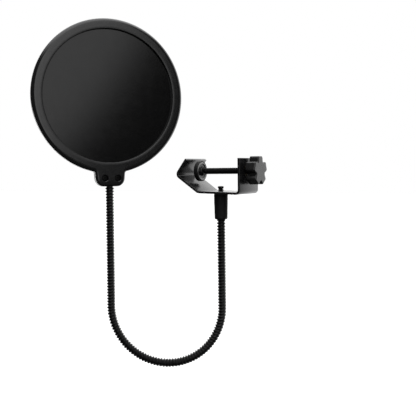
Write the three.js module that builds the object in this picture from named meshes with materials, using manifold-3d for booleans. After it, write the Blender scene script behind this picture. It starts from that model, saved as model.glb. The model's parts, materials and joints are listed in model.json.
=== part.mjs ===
// Clamp-on pop filter for a studio microphone: a round double-mesh screen, a gooseneck arm
// hanging in a U, and a V-jaw screw clamp that grips a stand tube.
//
// Millimetres, +Z up. X runs along the clamp screw towards its knob, Y across the clamp's strap.
// The origin is on the screw's axis, between the V jaw and the closed pressure pad.

import * as THREE from 'three';
import { mergeVertices } from 'three/addons/utils/BufferGeometryUtils.js';
import Module from 'manifold-3d';

const wasm = await Module();
wasm.setup();

// ---------------------------------------------------------------- driving dimensions

const GAP = 0.3; // clearance left between neighbouring pieces

const FILTER = {
  centre: [-77.2, -38.0, 76.5],
  turnDeg: 52, // the screen's front is turned this far from -Y towards +X
  outerRadius: 77.5,
  openRadius: 67,
  halfThickness: 5.2,
  bevel: 3.1, // radial width of the outer edge's bevel
  plateThickness: 2.65, // the front plate that holds the mesh down
  wall: 2.7, // outer wall of each shell
  meshRadius: 74.3,
  meshThickness: 0.4,
  spacerBore: 67.6,
  openEdge: 0.6, // chamfer round the opening
};

const TAB = {
  width: 31.2,
  bottomWidth: 28.6,
  rootReach: 70, // distance of the tab's hidden top from the screen's centre
  reach: 90.8, // distance of the tab's lower edge from the screen's centre
  corner: 7,
  flare: 2.4, // fillet where the tab's side meets the ring
  bevel: 2.2,
  screwX: [-5.7, 7.6],
  screwReach: 82.5,
};

const TAB_SCREW = {
  headRadius: 2.9,
  headHeight: 1.5,
  headTop: 3.8,
  shankRadius: 1.25,
  tip: -3.6,
  pointLength: 0.7,
  holeClearance: 0.25,
  headEdge: 0.5,
};

const ARM = {
  radius: 3.95,
  bore: 2.0,
  turnDeg: 19.6, // direction of the arm's plane, measured from X
  span: 113.3, // distance between the two upright legs
  bendHeight: -134.2, // where both legs run into the half-circle bend
  clampEnd: -35.1, // end of the winding inside the ferrule
  firstJoint: 32, // arc length from the clamp end to the first flexing joint
  lastJoint: 370,
  joints: 9,
  jointGap: 2.0, // room left at each joint
  step: 8, // longest straight stretch round the bend
  sides: 12,
  boreSides: 8,
};

const STRAP = {
  thickness: 2.2,
  halfWidth: 20,
  jawTip: [0.8, 12.4],
  jawRoot: [-11.2, -3.7],
  baseStart: [14.4, -21.5],
  baseEnd: [60.5, -22.8],
  uprightTop: [60.5, 12.1],
  bendRadius: 4.5, // outside radius of the bends at both ends of the base
  jawRadius: 4.8, // outside radius of the V's root
};

const THREAD = { radius: 3.0, leadIn: 0.8, neckRadius: 1.7, neckLength: 2.1 };
const BALL = { radius: 2.4, length: 1.7, front: 8.5, frontEdge: 0.6, frontRadius: 1.6, backEdge: 0.4 };
const BUSH = { bore: 3.35, bodyRadius: 4.2, flangeRadius: 6.2, flangeThickness: 1.5, proud: 0.6 };
const PAD = { face: 3.9, radius: 10, thickness: 4.9, floor: 3, wall: 0.7, edge: 0.8, lip: 0.3 };
const CUP = {
  floor: 1.0,
  rimHeight: 2.0,
  rollInner: 1.9, // inner foot of the rolled rim, in from the cup's edge
  rollTop: 1.1,
  rollOuter: 0.4,
  rollEdge: 0.3,
  hubFoot: 4.6,
  hubTop: 4.3,
  hubBore: 2.8,
  hubHeight: 3.3,
};
const RETAINER = { radius: 4.2, thickness: 0.6, boreClearance: 0.35 };
const KNOB = {
  back: 63.5,
  front: 73.3,
  lobes: 5,
  lobeRadius: 13.8, // from the axis to the middle of a lobe's flat top
  valleyRadius: 9.9,
  lobeEndDeg: 14, // where a lobe's flat top starts to fall away, from its middle
  valleyStartDeg: 33,
  edge: 1.1,
  outlinePoints: 80,
  screwCover: 2.6, // plastic and air over the screw's end
};
const INSERT = { acrossFlats: 9, cover: 2.4 };
const PIVOT = {
  x: 29.5,
  shankRadius: 1.8,
  holeRadius: 2.15,
  headRadius: 2.9,
  headTop: -14.9,
  headEdge: 0.6,
  tip: -32.5,
  tipEdge: 0.5,
};
const FLAT_WASHER = { radius: 3.0, thickness: 0.8 };
const SPRING_WASHER = { radius: 2.5, thickness: 0.9, slit: 0.5 };
const FRICTION_WASHER = { radius: 6.6, thickness: 0.6 };
const FERRULE = {
  bottom: -47.5,
  topRadius: 6.9,
  topEdge: 0.5,
  bottomRadius: 6.35,
  bottomEdge: 1.6,
  bottomRound: 0.5,
  plugRadius: 5.2,
  spigotStop: 2, // how far the plug's spigot stays up from the sleeve's lower end
};
const ANCHOR = {
  radius: 2.8,
  top: 1.2,
  topEdge: 0.5,
  shoulder: -9.6,
  spigotRadius: 1.65,
  spigotLength: 9,
  grooveDepth: 0.8,
  grooveTop: 2.8, // the groove's upper and lower edges, down from the plug's top
  grooveBottom: 6,
  grooveSlope: 0.6,
};
const ARM_CLEARANCE = 0.35; // between the arm and the hole it goes into

// Sides given to round pieces, by their size.
const SIDES = { small: 16, medium: 24, screen: 60 };

const radians = THREE.MathUtils.degToRad;

// ---------------------------------------------------------------- solids

// A closed geometry as a solid, with shared corners merged and empty triangles dropped.
function solid(geometry) {
  const bare = geometry.clone();
  bare.deleteAttribute('normal');
  bare.deleteAttribute('uv');
  const merged = mergeVertices(bare, 1e-4);
  const index = merged.index.array;
  const triangles = [];
  for (let i = 0; i < index.length; i += 3) {
    const [a, b, c] = [index[i], index[i + 1], index[i + 2]];
    if (a !== b && b !== c && c !== a) triangles.push(a, b, c);
  }
  const vertProperties = new Float32Array(merged.attributes.position.array);
  const mesh = new wasm.Mesh({ numProp: 3, vertProperties, triVerts: new Uint32Array(triangles) });
  return new wasm.Manifold(mesh);
}

// A solid as a named mesh in its own colour.
function piece(name, shape, material) {
  const result = shape.getMesh();
  const geometry = new THREE.BufferGeometry();
  geometry.setAttribute('position', new THREE.BufferAttribute(result.vertProperties, 3));
  geometry.setIndex(new THREE.BufferAttribute(result.triVerts, 1));
  geometry.computeVertexNormals();
  const mesh = new THREE.Mesh(geometry, material);
  mesh.name = name;
  return mesh;
}

// A turned shape. The profile lists [radius, height] anticlockwise; axis is where height points.
function turned(profile, axis, segments) {
  const points = profile.map(([radius, height]) => new THREE.Vector2(radius, height));
  const onAxis = profile[0][0] === 0 && profile[profile.length - 1][0] === 0;
  if (!onAxis) points.push(points[0].clone());
  const geometry = new THREE.LatheGeometry(points, segments);
  if (axis === 'x') geometry.rotateZ(-Math.PI / 2);
  if (axis === 'z') geometry.rotateX(Math.PI / 2);
  if (axis === '-y') geometry.rotateX(Math.PI);
  return solid(geometry);
}

// A plain rod or hole along an axis, from one height to another.
function rod(radius, from, to, axis, segments) {
  return turned([[0, from], [radius, from], [radius, to], [0, to]], axis, segments);
}

// A flat ring along an axis.
function washer(inner, outer, from, to, axis, segments) {
  return turned([[inner, from], [outer, from], [outer, to], [inner, to]], axis, segments);
}

// A block between two corners.
function box(low, high) {
  const size = high.map((value, i) => value - low[i]);
  const middle = high.map((value, i) => (value + low[i]) / 2);
  return solid(new THREE.BoxGeometry(...size).translate(...middle));
}

// A shape drawn in X and Z, given its depth along Y, centred on Y = 0.
function slab(shape, depth, options = {}) {
  const settings = { depth, bevelEnabled: false, curveSegments: 5, ...options };
  const geometry = new THREE.ExtrudeGeometry(shape, settings);
  geometry.rotateX(Math.PI / 2);
  return solid(geometry).translate([0, depth / 2, 0]);
}

function finish(color, roughness, metalness) {
  return new THREE.MeshStandardMaterial({ color, roughness, metalness });
}

const FINISH = {
  shell: finish(0x26272a, 0.5, 0),
  mesh: finish(0x111214, 0.9, 0),
  blackSteel: finish(0x1b1b1d, 0.35, 0.8),
  paint: finish(0x1d1d1f, 0.3, 0.4),
  plastic: finish(0x2a2a2c, 0.45, 0),
  rubber: finish(0x141414, 0.85, 0),
  zinc: finish(0x8c8f93, 0.35, 1),
  brass: finish(0xb08d4a, 0.4, 1),
  fibre: finish(0x18181a, 0.8, 0),
};

const object = new THREE.Group();

// ---------------------------------------------------------------- clamp bracket

// Outline of a strip bent along a path, each bend rounded on both sides.
function bentStrip(path, thickness, bendRadii) {
  const corners = path.map(([x, z]) => new THREE.Vector2(x, z));
  const outline = new THREE.Shape();
  const directions = corners.slice(1).map((corner, i) => corner.clone().sub(corners[i]).normalize());
  const side = (direction) => new THREE.Vector2(-direction.y, direction.x);

  function run(offset, reverse) {
    const stops = [];
    stops.push([corners[0].clone().addScaledVector(side(directions[0]), offset)]);
    for (let i = 1; i < corners.length - 1; i += 1) {
      const before = directions[i - 1];
      const after = directions[i];
      const half = Math.acos(THREE.MathUtils.clamp(before.dot(after), -1, 1)) / 2;
      const turnsLeft = Math.sign(before.cross(after));
      const radius = bendRadii[i - 1] - turnsLeft * offset;
      const setback = bendRadii[i - 1] * Math.tan(half);
      const start = corners[i].clone().addScaledVector(before, -setback);
      const centre = start.clone().addScaledVector(side(before), turnsLeft * bendRadii[i - 1]);
      const arc = [];
      const steps = 5;
      for (let k = 0; k <= steps; k += 1) {
        const spin = (turnsLeft * 2 * half * k) / steps;
        const spoke = side(before).multiplyScalar(-turnsLeft * radius);
        arc.push(centre.clone().add(spoke.rotateAround(new THREE.Vector2(), spin)));
      }
      stops.push(arc);
    }
    const last = corners.length - 1;
    stops.push([corners[last].clone().addScaledVector(side(directions[last - 1]), offset)]);
    const points = stops.flat();
    return reverse ? points.reverse() : points;
  }

  outline.setFromPoints([...run(0, false), ...run(thickness, true)]);
  return outline;
}

function clampBracket() {
  const { jawTip, jawRoot, baseStart, baseEnd, uprightTop } = STRAP;
  const radii = [STRAP.jawRadius, STRAP.bendRadius, STRAP.bendRadius];
  const outline = bentStrip([jawTip, jawRoot, baseStart, baseEnd, uprightTop], STRAP.thickness, radii);
  const strip = slab(outline, 2 * STRAP.halfWidth);
  const through = 4 * STRAP.thickness;
  const bushHole = rod(
    BUSH.bodyRadius + GAP,
    baseEnd[0] - through,
    baseEnd[0] + through,
    'x',
    SIDES.medium,
  );
  const pivotHole = rod(PIVOT.holeRadius, baseEnd[1] - through, baseEnd[1] + through, 'z', SIDES.small);
  return strip.subtract(bushHole).subtract(pivotHole.translate([PIVOT.x, 0, 0]));
}

object.add(piece('clamp_bracket', clampBracket(), FINISH.paint));

// ---------------------------------------------------------------- clamp screw, bush, pad, knob

const uprightInner = STRAP.baseEnd[0] - STRAP.thickness;
const bushFlange = uprightInner - GAP - BUSH.flangeThickness;

function threadBush() {
  const end = STRAP.baseEnd[0] + BUSH.proud;
  return turned([
    [BUSH.bore, bushFlange],
    [BUSH.flangeRadius, bushFlange],
    [BUSH.flangeRadius, uprightInner - GAP],
    [BUSH.bodyRadius, uprightInner - GAP],
    [BUSH.bodyRadius, end],
    [BUSH.bore, end],
  ], 'x', SIDES.medium);
}

const neckStart = BALL.front + BALL.length;
const threadStart = neckStart + THREAD.neckLength;
const threadEnd = KNOB.front - KNOB.screwCover;

const cupBase = PAD.face + PAD.floor + GAP;
const hubTop = cupBase + CUP.hubHeight;

function clampScrew() {
  return turned([
    [0, BALL.front],
    [BALL.frontRadius, BALL.front],
    [BALL.radius, BALL.front + BALL.frontEdge],
    [BALL.radius, neckStart - BALL.backEdge],
    [THREAD.neckRadius, neckStart],
    [THREAD.neckRadius, threadStart],
    [THREAD.radius, threadStart + THREAD.leadIn],
    [THREAD.radius, threadEnd],
    [0, threadEnd],
  ], 'x', SIDES.small);
}

function padFacing() {
  const rim = PAD.radius - PAD.wall;
  const back = PAD.face + PAD.thickness;
  return turned([
    [0, PAD.face],
    [PAD.radius - PAD.edge, PAD.face],
    [PAD.radius, PAD.face + PAD.edge],
    [PAD.radius, back - PAD.lip],
    [PAD.radius - PAD.lip, back],
    [rim, back],
    [rim, PAD.face + PAD.floor],
    [0, PAD.face + PAD.floor],
  ], 'x', SIDES.medium);
}

// The steel cup has a rolled rim and a hub that holds the screw's ball end.
function padCup() {
  const rim = PAD.radius - PAD.wall - GAP;
  const floorTop = cupBase + CUP.floor;
  const rimTop = cupBase + CUP.rimHeight;
  return turned([
    [0, cupBase],
    [rim, cupBase],
    [rim, rimTop - CUP.rollEdge],
    [rim - CUP.rollOuter, rimTop],
    [rim - CUP.rollTop, rimTop],
    [rim - CUP.rollInner, floorTop],
    [CUP.hubFoot, floorTop],
    [CUP.hubTop, hubTop],
    [CUP.hubBore, hubTop],
    [CUP.hubBore, floorTop],
    [0, floorTop],
  ], 'x', SIDES.medium);
}

function padRetainer() {
  const start = hubTop + GAP;
  const bore = THREAD.neckRadius + RETAINER.boreClearance;
  return washer(bore, RETAINER.radius, start, start + RETAINER.thickness, 'x', SIDES.small);
}

// Broad lobes with flat tops and hollows between them, one lobe pointing up.
function knobOutline(inset) {
  const shape = new THREE.Shape();
  const count = KNOB.outlinePoints;
  const spacing = (2 * Math.PI) / KNOB.lobes;
  const points = [];
  for (let i = 0; i < count; i += 1) {
    const angle = (2 * Math.PI * i) / count;
    const offset = angle - Math.PI / 2;
    const fromLobe = Math.abs(offset - spacing * Math.round(offset / spacing));
    const [first, last] = [radians(KNOB.lobeEndDeg), radians(KNOB.valleyStartDeg)];
    const fall = THREE.MathUtils.smoothstep(fromLobe, first, last);
    const flatTop = KNOB.lobeRadius / Math.cos(fromLobe);
    const radius = THREE.MathUtils.lerp(flatTop, KNOB.valleyRadius, fall) - inset;
    points.push(new THREE.Vector2(radius * Math.cos(angle), radius * Math.sin(angle)));
  }
  return shape.setFromPoints(points);
}

function hexagon(acrossFlats) {
  const points = [];
  for (let i = 0; i < 6; i += 1) {
    const angle = (Math.PI * i) / 3;
    const radius = acrossFlats / Math.sqrt(3);
    points.push(new THREE.Vector2(radius * Math.cos(angle), radius * Math.sin(angle)));
  }
  return new THREE.Shape().setFromPoints(points);
}

// A shape drawn in Y and Z, extruded along X from one place to another.
function alongX(shape, from, to, edge = 0) {
  const geometry = new THREE.ExtrudeGeometry(shape, {
    depth: to - from - 2 * edge,
    bevelEnabled: edge > 0,
    bevelThickness: edge,
    bevelSize: edge,
    bevelSegments: 1,
  });
  geometry.translate(0, 0, from + edge);
  const cycle = new THREE.Matrix4();
  cycle.makeBasis(new THREE.Vector3(0, 1, 0), new THREE.Vector3(0, 0, 1), new THREE.Vector3(1, 0, 0));
  geometry.applyMatrix4(cycle);
  return solid(geometry);
}

const insertEnd = KNOB.front - INSERT.cover;

function knob() {
  const body = alongX(knobOutline(KNOB.edge), KNOB.back, KNOB.front, KNOB.edge);
  const pocket = alongX(hexagon(INSERT.acrossFlats + 2 * GAP), KNOB.back - 1, insertEnd + GAP);
  return body.subtract(pocket);
}

function knobInsert() {
  const hex = alongX(hexagon(INSERT.acrossFlats), KNOB.back, insertEnd);
  return hex.subtract(rod(THREAD.radius + GAP, KNOB.back - 1, threadEnd + GAP, 'x', SIDES.small));
}

object.add(
  piece('thread_bush', threadBush(), FINISH.zinc),
  piece('clamp_screw', clampScrew(), FINISH.blackSteel),
  piece('pad_facing', padFacing(), FINISH.rubber),
  piece('pad_cup', padCup(), FINISH.zinc),
  piece('pad_retainer', padRetainer(), FINISH.blackSteel),
  piece('knob', knob(), FINISH.plastic),
  piece('knob_insert', knobInsert(), FINISH.brass),
);

// ---------------------------------------------------------------- swivel under the clamp

const swivel = new THREE.Group();
swivel.position.x = PIVOT.x;
object.add(swivel);

// The base runs slightly downhill towards the knob, so its height is taken at the pivot.
const baseShare = (PIVOT.x - STRAP.baseStart[0]) / (STRAP.baseEnd[0] - STRAP.baseStart[0]);
const baseUnder = THREE.MathUtils.lerp(STRAP.baseStart[1], STRAP.baseEnd[1], baseShare);
const baseTop = baseUnder + STRAP.thickness;
const frictionWasherUnder = baseUnder - GAP - FRICTION_WASHER.thickness;
const ferruleTop = frictionWasherUnder - GAP;
const flatWasherTop = baseTop + GAP + FLAT_WASHER.thickness;
const springWasherTop = flatWasherTop + GAP + SPRING_WASHER.thickness;
const headUnder = springWasherTop + GAP;

function pivotScrew() {
  return turned([
    [0, PIVOT.tip],
    [PIVOT.shankRadius - PIVOT.tipEdge, PIVOT.tip],
    [PIVOT.shankRadius, PIVOT.tip + PIVOT.tipEdge],
    [PIVOT.shankRadius, headUnder],
    [PIVOT.headRadius, headUnder],
    [PIVOT.headRadius, PIVOT.headTop - PIVOT.headEdge],
    [PIVOT.headRadius - PIVOT.headEdge, PIVOT.headTop],
    [0, PIVOT.headTop],
  ], 'z', SIDES.small);
}

function ferruleSleeve() {
  const { topEdge, bottom, topRadius, bottomRadius, bottomEdge, bottomRound, plugRadius } = FERRULE;
  const shoulder = ARM.clampEnd + GAP;
  return turned([
    [ARM.radius + ARM_CLEARANCE, bottom],
    [bottomRadius - bottomEdge, bottom],
    [bottomRadius - bottomRound, bottom + bottomRound],
    [bottomRadius, bottom + bottomEdge],
    [topRadius, ferruleTop - topEdge],
    [topRadius - topEdge, ferruleTop],
    [plugRadius + GAP, ferruleTop],
    [plugRadius + GAP, shoulder],
    [ARM.radius + ARM_CLEARANCE, shoulder],
  ], 'z', SIDES.medium);
}

function ferrulePlug() {
  const { plugRadius } = FERRULE;
  const hole = PIVOT.shankRadius + GAP;
  const shoulder = ARM.clampEnd + 2 * GAP;
  const spigotEnd = FERRULE.bottom + FERRULE.spigotStop;
  return turned([
    [0, spigotEnd],
    [ANCHOR.spigotRadius, spigotEnd],
    [ANCHOR.spigotRadius, shoulder],
    [plugRadius, shoulder],
    [plugRadius, ferruleTop],
    [hole, ferruleTop],
    [hole, PIVOT.tip - GAP],
    [0, PIVOT.tip - GAP],
  ], 'z', SIDES.medium);
}

const washerBore = PIVOT.shankRadius + GAP;

function pivotWasher() {
  return washer(washerBore, FLAT_WASHER.radius, baseTop + GAP, flatWasherTop, 'z', SIDES.small);
}

// A washer split at one side.
function springWasher() {
  const { radius, thickness, slit } = SPRING_WASHER;
  const bottom = flatWasherTop + GAP;
  const ring = washer(washerBore, radius, bottom, springWasherTop, 'z', SIDES.small);
  const cut = box([0, -slit / 2, bottom - thickness], [2 * radius, slit / 2, springWasherTop + thickness]);
  return ring.subtract(cut);
}

function frictionWasher() {
  const { radius } = FRICTION_WASHER;
  return washer(washerBore, radius, frictionWasherUnder, baseUnder - GAP, 'z', SIDES.medium);
}

swivel.add(
  piece('pivot_screw', pivotScrew(), FINISH.blackSteel),
  piece('pivot_washer', pivotWasher(), FINISH.blackSteel),
  piece('pivot_spring_washer', springWasher(), FINISH.blackSteel),
  piece('friction_washer', frictionWasher(), FINISH.fibre),
  piece('ferrule_sleeve', ferruleSleeve(), FINISH.plastic),
  piece('ferrule_plug', ferrulePlug(), FINISH.zinc),
);

// ---------------------------------------------------------------- gooseneck arm

const arm = new THREE.Group();
arm.position.x = PIVOT.x;
arm.rotation.z = radians(ARM.turnDeg);
object.add(arm);

const bendRadius = ARM.span / 2;
const clampLeg = ARM.clampEnd - ARM.bendHeight;
const bendLength = Math.PI * bendRadius;
const anchorEnd = ANCHOR.shoulder - GAP;
const screenLeg = anchorEnd - ARM.bendHeight;
const armLength = clampLeg + bendLength + screenLeg;

// The arm's centre line in its own plane: down the clamp's leg, round the bend, up to the screen.
class ArmCurve extends THREE.Curve {
  constructor(from, to) {
    super();
    this.from = from;
    this.to = to;
  }

  getPoint(t) {
    const s = this.from + (this.to - this.from) * t;
    if (s < clampLeg) return new THREE.Vector3(0, 0, ARM.clampEnd - s);
    if (s > clampLeg + bendLength) {
      return new THREE.Vector3(-ARM.span, 0, ARM.bendHeight + s - clampLeg - bendLength);
    }
    const angle = (s - clampLeg) / bendRadius;
    const x = -bendRadius + bendRadius * Math.cos(angle);
    return new THREE.Vector3(x, 0, ARM.bendHeight - bendRadius * Math.sin(angle));
  }
}

function circle(radius, count) {
  const points = [];
  for (let i = 0; i < count; i += 1) {
    const angle = (2 * Math.PI * i) / count;
    points.push(new THREE.Vector2(radius * Math.cos(angle), radius * Math.sin(angle)));
  }
  return points;
}

function armStretch(from, to) {
  const section = new THREE.Shape(circle(ARM.radius, ARM.sides));
  section.holes.push(new THREE.Path(circle(ARM.bore, ARM.boreSides)));
  const straight = to < clampLeg || from > clampLeg + bendLength;
  const geometry = new THREE.ExtrudeGeometry(section, {
    steps: straight ? 1 : Math.ceil((to - from) / ARM.step),
    extrudePath: new ArmCurve(from, to),
  });
  return solid(geometry);
}

const jointStep = (ARM.lastJoint - ARM.firstJoint) / (ARM.joints - 1);
for (let i = 0; i <= ARM.joints; i += 1) {
  const before = ARM.firstJoint + (i - 1) * jointStep + ARM.jointGap / 2;
  const after = ARM.firstJoint + i * jointStep - ARM.jointGap / 2;
  const from = i === 0 ? 0 : before;
  const to = i === ARM.joints ? armLength : after;
  arm.add(piece(`gooseneck_${i + 1}`, armStretch(from, to), FINISH.blackSteel));
}

function anchorPlug() {
  const { radius, top, topEdge, shoulder, spigotRadius, spigotLength } = ANCHOR;
  const { grooveDepth, grooveTop, grooveBottom, grooveSlope } = ANCHOR;
  return turned([
    [0, shoulder - spigotLength],
    [spigotRadius, shoulder - spigotLength],
    [spigotRadius, shoulder],
    [radius, shoulder],
    [radius, top - grooveBottom],
    [radius - grooveDepth, top - grooveBottom + grooveSlope],
    [radius - grooveDepth, top - grooveTop - grooveSlope],
    [radius, top - grooveTop],
    [radius, top - topEdge],
    [radius - topEdge, top],
    [0, top],
  ], 'z', SIDES.small);
}

const anchor = piece('anchor_plug', anchorPlug(), FINISH.zinc);
anchor.position.x = -ARM.span;
arm.add(anchor);

// ---------------------------------------------------------------- round screen

// In the screen's own frame the front faces -Y and the tab points down -Z.
const screen = new THREE.Group();
screen.position.set(...FILTER.centre);
screen.rotation.z = radians(FILTER.turnDeg);
object.add(screen);

const plateUnder = FILTER.halfThickness - FILTER.plateThickness;
const wallInner = FILTER.outerRadius - FILTER.wall;

function ringShell() {
  const { outerRadius, openRadius, openEdge, halfThickness, bevel } = FILTER;
  const bevelTop = [];
  const steps = 3;
  for (let i = 0; i <= steps; i += 1) {
    const angle = (Math.PI / 2) * (i / steps);
    const radius = outerRadius - bevel + bevel * Math.cos(angle);
    bevelTop.push([radius, halfThickness - bevel + bevel * Math.sin(angle)]);
  }
  return turned([
    [openRadius, plateUnder],
    [wallInner, plateUnder],
    [wallInner, GAP / 2],
    [outerRadius, GAP / 2],
    ...bevelTop,
    [openRadius + openEdge, halfThickness],
    [openRadius, halfThickness - openEdge],
  ], '-y', SIDES.screen);
}

function tabOutline() {
  const { width, bottomWidth, rootReach, reach, corner, flare, bevel } = TAB;
  const half = width / 2 - bevel;
  const lower = bottomWidth / 2 - bevel;
  const bottom = -reach + bevel;
  const shape = new THREE.Shape();
  const flareEnd = -FILTER.outerRadius - flare;
  shape.moveTo(-half - flare, -rootReach);
  shape.lineTo(-half - flare, -FILTER.outerRadius + flare);
  shape.quadraticCurveTo(-half, -FILTER.outerRadius, -half, flareEnd);
  shape.lineTo(-lower, bottom + corner);
  shape.quadraticCurveTo(-lower, bottom, -lower + corner, bottom);
  shape.lineTo(lower - corner, bottom);
  shape.quadraticCurveTo(lower, bottom, lower, bottom + corner);
  shape.lineTo(half, flareEnd);
  shape.quadraticCurveTo(half, -FILTER.outerRadius, half + flare, -FILTER.outerRadius + flare);
  shape.lineTo(half + flare, -rootReach);
  return shape;
}

// The front half of the tab, bevelled all round, cut flat at the joint between the shells.
function tabHalf() {
  const { bevel } = TAB;
  const depth = 2 * (FILTER.halfThickness - bevel);
  const options = { bevelEnabled: true, bevelThickness: bevel, bevelSize: bevel, bevelSegments: 2 };
  const whole = slab(tabOutline(), depth, options);
  const room = 2 * TAB.reach;
  return whole.intersect(box([-room, -room, -room], [room, -GAP / 2, 0]));
}

// Room for the arm's end and its anchor plug, in the screen's frame. A rib fits the plug's groove.
function anchorRoom() {
  const down = (z) => z - FILTER.centre[2];
  const { radius, top, shoulder, grooveDepth, grooveTop, grooveBottom, grooveSlope } = ANCHOR;
  const armRadius = ARM.radius + ARM_CLEARANCE;
  const below = FILTER.centre[2] - TAB.reach - TAB.corner;
  const ribTop = top - grooveTop - GAP / 3;
  const ribBottom = top - grooveBottom + GAP / 3;
  return turned([
    [0, down(below)],
    [armRadius, down(below)],
    [armRadius, down(shoulder)],
    [radius + GAP, down(shoulder)],
    [radius + GAP, down(ribBottom)],
    [radius + GAP - grooveDepth, down(ribBottom + grooveSlope - GAP / 1.5)],
    [radius + GAP - grooveDepth, down(ribTop - grooveSlope + GAP / 1.5)],
    [radius + GAP, down(ribTop)],
    [radius + GAP, down(top + GAP)],
    [0, down(top + GAP)],
  ], 'z', SIDES.small);
}

function atScrews(shape) {
  return TAB.screwX.map((x) => shape.translate([x, 0, -TAB.screwReach]));
}

const headUnderside = TAB_SCREW.headTop - TAB_SCREW.headHeight;

function shell(isFront) {
  const hollow = rod(wallInner, -1, plateUnder, '-y', SIDES.screen);
  let body = ringShell().add(tabHalf().subtract(hollow));
  if (!isFront) body = body.mirror([0, 1, 0]);
  body = body.subtract(anchorRoom());
  const { headRadius, shankRadius, tip, holeClearance } = TAB_SCREW;
  const hole = rod(shankRadius + holeClearance, tip - GAP, FILTER.halfThickness, '-y', SIDES.small);
  const recess = rod(headRadius + GAP, headUnderside - GAP, FILTER.halfThickness + 1, '-y', SIDES.small);
  for (const cut of [...atScrews(hole), ...atScrews(recess)]) body = body.subtract(cut);
  return body;
}

function tabScrew() {
  const { headRadius, headTop, shankRadius, tip, pointLength, headEdge } = TAB_SCREW;
  return turned([
    [0, tip],
    [shankRadius - pointLength, tip],
    [shankRadius, tip + pointLength],
    [shankRadius, headUnderside],
    [headRadius, headUnderside],
    [headRadius, headTop - headEdge],
    [headRadius - headEdge, headTop],
    [0, headTop],
  ], '-y', SIDES.small);
}

const meshTop = plateUnder - GAP;
const meshUnder = meshTop - FILTER.meshThickness;
const spacerHalf = meshUnder - GAP;

function meshDisc(from, to) {
  return rod(FILTER.meshRadius, from, to, '-y', SIDES.screen);
}

function spacerRing() {
  return washer(FILTER.spacerBore, FILTER.meshRadius, -spacerHalf, spacerHalf, '-y', SIDES.screen);
}

screen.add(
  piece('front_ring', shell(true), FINISH.shell),
  piece('rear_ring', shell(false), FINISH.shell),
  piece('front_mesh', meshDisc(meshUnder, meshTop), FINISH.mesh),
  piece('rear_mesh', meshDisc(-meshTop, -meshUnder), FINISH.mesh),
  piece('spacer_ring', spacerRing(), FINISH.plastic),
);
atScrews(tabScrew()).forEach((shape, i) => {
  screen.add(piece(`tab_screw_${i + 1}`, shape, FINISH.blackSteel));
});

export default object;
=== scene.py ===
import json
import math

import bpy
import numpy as np
from mathutils import Matrix, Vector


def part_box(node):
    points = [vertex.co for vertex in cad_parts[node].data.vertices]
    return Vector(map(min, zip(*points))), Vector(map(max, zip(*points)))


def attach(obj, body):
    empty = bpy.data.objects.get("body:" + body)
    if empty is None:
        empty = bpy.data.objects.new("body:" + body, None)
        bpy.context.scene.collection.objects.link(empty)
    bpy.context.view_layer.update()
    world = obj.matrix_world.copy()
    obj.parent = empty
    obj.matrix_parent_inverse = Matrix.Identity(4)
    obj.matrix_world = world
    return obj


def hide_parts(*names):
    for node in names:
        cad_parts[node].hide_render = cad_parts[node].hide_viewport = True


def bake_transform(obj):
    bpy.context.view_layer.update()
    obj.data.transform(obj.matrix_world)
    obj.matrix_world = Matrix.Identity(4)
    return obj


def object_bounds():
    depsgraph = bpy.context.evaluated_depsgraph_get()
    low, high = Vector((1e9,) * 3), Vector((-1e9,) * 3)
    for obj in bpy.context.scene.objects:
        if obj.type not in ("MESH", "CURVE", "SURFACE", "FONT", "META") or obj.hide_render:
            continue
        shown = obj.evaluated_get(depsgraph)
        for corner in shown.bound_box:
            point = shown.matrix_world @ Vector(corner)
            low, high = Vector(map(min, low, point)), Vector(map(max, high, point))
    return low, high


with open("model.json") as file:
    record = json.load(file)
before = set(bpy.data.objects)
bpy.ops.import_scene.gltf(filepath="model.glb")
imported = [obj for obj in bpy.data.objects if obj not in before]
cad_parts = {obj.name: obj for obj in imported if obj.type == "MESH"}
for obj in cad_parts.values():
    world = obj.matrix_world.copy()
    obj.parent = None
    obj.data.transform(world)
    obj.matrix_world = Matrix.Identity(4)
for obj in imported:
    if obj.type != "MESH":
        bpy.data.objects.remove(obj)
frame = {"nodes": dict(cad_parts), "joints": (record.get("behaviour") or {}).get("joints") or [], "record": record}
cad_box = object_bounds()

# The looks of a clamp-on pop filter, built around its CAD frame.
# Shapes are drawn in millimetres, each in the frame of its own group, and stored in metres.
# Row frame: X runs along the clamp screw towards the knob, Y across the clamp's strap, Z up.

MM = 0.001
TAU = 2 * math.pi

# ------------------------------------------------------------------ driving dimensions

GAP = 0.3  # clearance that the CAD pieces keep

RING = {
    "turn": 52,  # the screen's front is turned this far from -Y towards +X, in degrees
    "outer": 77.5,
    "open": 67,
    "half": 5.2,  # from the joint plane to the face
    "bevel": 3.1,
    "bevel_power": 1.45,  # 1 would be a round bevel and 2 a flat chamfer
    "plate": 2.65,
    "wall": 2.7,
    "lip": 0.4,  # rounding of the opening's edge
    "land": 3,  # the face's round part, from the opening outwards
    "seam": 0.15,  # half the gap between the two shells
    "seam_edge": 0.2,
}
TAB = {
    "half_width": 15.6,
    "half_bottom": 14.3,
    "reach": 90.8,
    "corner": 8.2,
    "flare": 2.6,
    "flare_turn": 2.2,  # the ring's arc stops this many degrees short of the tab
    "blend": (71, 77),  # distances below the centre between which ring turns into tab
    "bevel_share": 0.72,  # the tab's bevel is narrower than the ring's
    "screws": (-5.7, 7.6),
    "screw_reach": 82.5,
}
TAB_SCREW = {"head": 2.9, "under": 2.3, "top": 3.8, "shank": 1.25, "tip": -3.6, "recess": 3.2}
SHEET = {"radius": 74.3, "top": 2.25, "under": 1.85, "thread_pitch": 0.6}

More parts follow.
